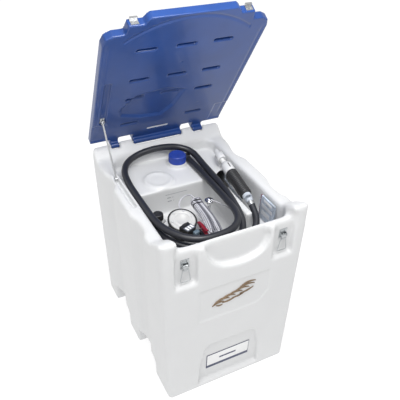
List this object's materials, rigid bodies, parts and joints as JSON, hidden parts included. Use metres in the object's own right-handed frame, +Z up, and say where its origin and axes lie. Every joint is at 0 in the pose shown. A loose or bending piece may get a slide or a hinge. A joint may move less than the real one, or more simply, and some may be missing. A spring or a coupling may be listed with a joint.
{
  "type": "portable dispensing tank",
  "caption": "Portable moulded fluid tank with a hinged lid on a stay rod, latches, and a compartment holding a pump, coiled hose, nozzle and cable.",
  "frame": {"origin": "on the floor under the middle leg, at the centre of the tank's top outline", "axes": "+X right seen from the latches, +Y to the hinge side, +Z up"},
  "size_m": [0.6, 0.789, 1.4104],
  "materials": {
    "white_body": "moulded",
    "blue_lid": "moulded",
    "steel": "satin",
    "zinc": "zinc plated",
    "cap_blue": "moulded",
    "rubber": "matte",
    "black_plastic": "moulded",
    "pump_white": "gloss",
    "print_grey": "printed",
    "smoke_plastic": "translucent",
    "chrome": "polished",
    "hose_rubber": "satin",
    "nozzle_grey": "moulded",
    "cable_grey": "matte",
    "cable_dark": "matte",
    "clamp_red": "moulded",
    "clear_film": "clear film",
    "paper": "printed",
    "label_white": "printed",
    "emblem_brown": "printed"
  },
  "bodies": {
    "tank": {"tank_body": "white_body", "hinge_pin": "steel", "latch_base_left": "zinc", "latch_base_right": "zinc", "latch_pins": "zinc", "pump_bracket": "steel", "pump_housing": "black_plastic", "pump_ring": "black_plastic", "pump_face": "pump_white", "pump_screws": "steel", "motor": "black_plastic", "switch_box": "black_plastic", "switch_plate": "print_grey", "terminal_cover": "smoke_plastic", "cable_gland": "black_plastic", "strainer_pipe": "white_body", "level_probe": "chrome", "delivery_hose": "hose_rubber", "hose_ferrules": "steel", "hose_elbow": "black_plastic", "hose_guard": "rubber", "nozzle_grip": "rubber", "nozzle_body": "nozzle_grey", "nozzle_spout": "steel", "trigger_guard": "nozzle_grey", "trigger_pin": "steel", "hose_swivel": "nozzle_grey", "spout_cup": "nozzle_grey", "cable_hank": "cable_grey", "cable_ties": "black_plastic", "supply_lead": "cable_grey", "clamp_lead": "cable_grey", "probe_cable": "cable_dark", "clamp_red_lower": "clamp_red", "clamp_black_lower": "black_plastic", "clamp_pins": "steel", "document_pouch": "clear_film", "label_plate": "label_white", "emblem_plate": "emblem_brown"},
    "lid": {"lid_shell": "blue_lid", "lid_keepers": "steel", "keeper_rivets": "steel", "stay_bracket": "steel", "stay_pin": "steel"},
    "stay": {"stay_rod": "steel"},
    "lever_left": {"latch_lever_left": "zinc"},
    "lever_right": {"latch_lever_right": "zinc"},
    "bail_left": {"latch_bail_left": "zinc"},
    "bail_right": {"latch_bail_right": "zinc"},
    "cap_seal_body": {"cap_seal": "rubber"},
    "cap": {"filler_cap": "cap_blue"},
    "rocker": {"rocker_switch": "black_plastic"},
    "knob": {"strainer_knob": "black_plastic"},
    "trigger": {"nozzle_trigger": "black_plastic"},
    "red_jaw": {"clamp_red_upper": "clamp_red"},
    "black_jaw": {"clamp_black_upper": "black_plastic"},
    "booklet_body": {"booklet": "paper"}
  },
  "joints": [
    {"name": "lid_hinge", "type": "hinge", "parent": "tank", "child": "lid", "pos_m": [0, 0.35, 0.803], "axis": [1, 0, 0], "range_deg": [0, 58.81]},
    {"name": "stay_pivot", "type": "hinge", "parent": "lid", "child": "stay", "pos_m": [-0.26, 0.27668, 0.955], "axis": [1, 0, 0], "range_deg": [-105, 0]},
    {"name": "lever_left_pivot", "type": "hinge", "parent": "tank", "child": "lever_left", "pos_m": [-0.201, -0.352, 0.706], "axis": [-1, 0, 0], "range_deg": [0, 100]},
    {"name": "bail_left_pivot", "type": "hinge", "parent": "lever_left", "child": "bail_left", "pos_m": [-0.201, -0.352, 0.689], "axis": [-1, 0, 0], "range_deg": [0, 60]},
    {"name": "lever_right_pivot", "type": "hinge", "parent": "tank", "child": "lever_right", "pos_m": [0.201, -0.352, 0.706], "axis": [-1, 0, 0], "range_deg": [0, 100]},
    {"name": "bail_right_pivot", "type": "hinge", "parent": "lever_right", "child": "bail_right", "pos_m": [0.201, -0.352, 0.689], "axis": [-1, 0, 0], "range_deg": [0, 60]},
    {"name": "cap_lift", "type": "slide", "parent": "tank", "child": "cap_seal_body", "axis": [0, 0, 1], "range_m": [0, 0.03]},
    {"name": "cap_turn", "type": "hinge", "parent": "cap_seal_body", "child": "cap", "pos_m": [0.038, 0.228, 0.75], "axis": [0, 0, 1], "continuous": true},
    {"name": "rocker_tilt", "type": "hinge", "parent": "tank", "child": "rocker", "pos_m": [-0.11066, -0.15886, 0.708], "axis": [0.9336, 0.3584, 0], "range_deg": [-6, 0], "stiffness_Nm_per_rad": 0.05},
    {"name": "knob_turn", "type": "hinge", "parent": "tank", "child": "knob", "pos_m": [-0.165, -0.031, 0.684], "axis": [0, 0, 1], "continuous": true},
    {"name": "trigger_pull", "type": "hinge", "parent": "tank", "child": "trigger", "pos_m": [0.19675, 0.0634, 0.72216], "axis": [1, 0, 0], "range_deg": [-7, 0], "stiffness_Nm_per_rad": 0.6, "springref_deg": 17.19},
    {"name": "red_clamp_open", "type": "hinge", "parent": "tank", "child": "red_jaw", "pos_m": [-0.056, -0.198, 0.712], "axis": [1, 0, 0], "range_deg": [0, 9], "stiffness_Nm_per_rad": 0.3, "springref_deg": -17.19},
    {"name": "black_clamp_open", "type": "hinge", "parent": "tank", "child": "black_jaw", "pos_m": [-0.056, -0.204, 0.678], "axis": [1, 0, 0], "range_deg": [0, 9], "stiffness_Nm_per_rad": 0.3, "springref_deg": -17.19},
    {"name": "booklet_lift", "type": "slide", "parent": "tank", "child": "booklet_body", "axis": [0, 0, 1], "range_m": [0, 0.04]}
  ],
  "couplings": [
    {"joint": "stay_pivot", "follows": "lid_hinge", "ratio": -1.7637}
  ]
}
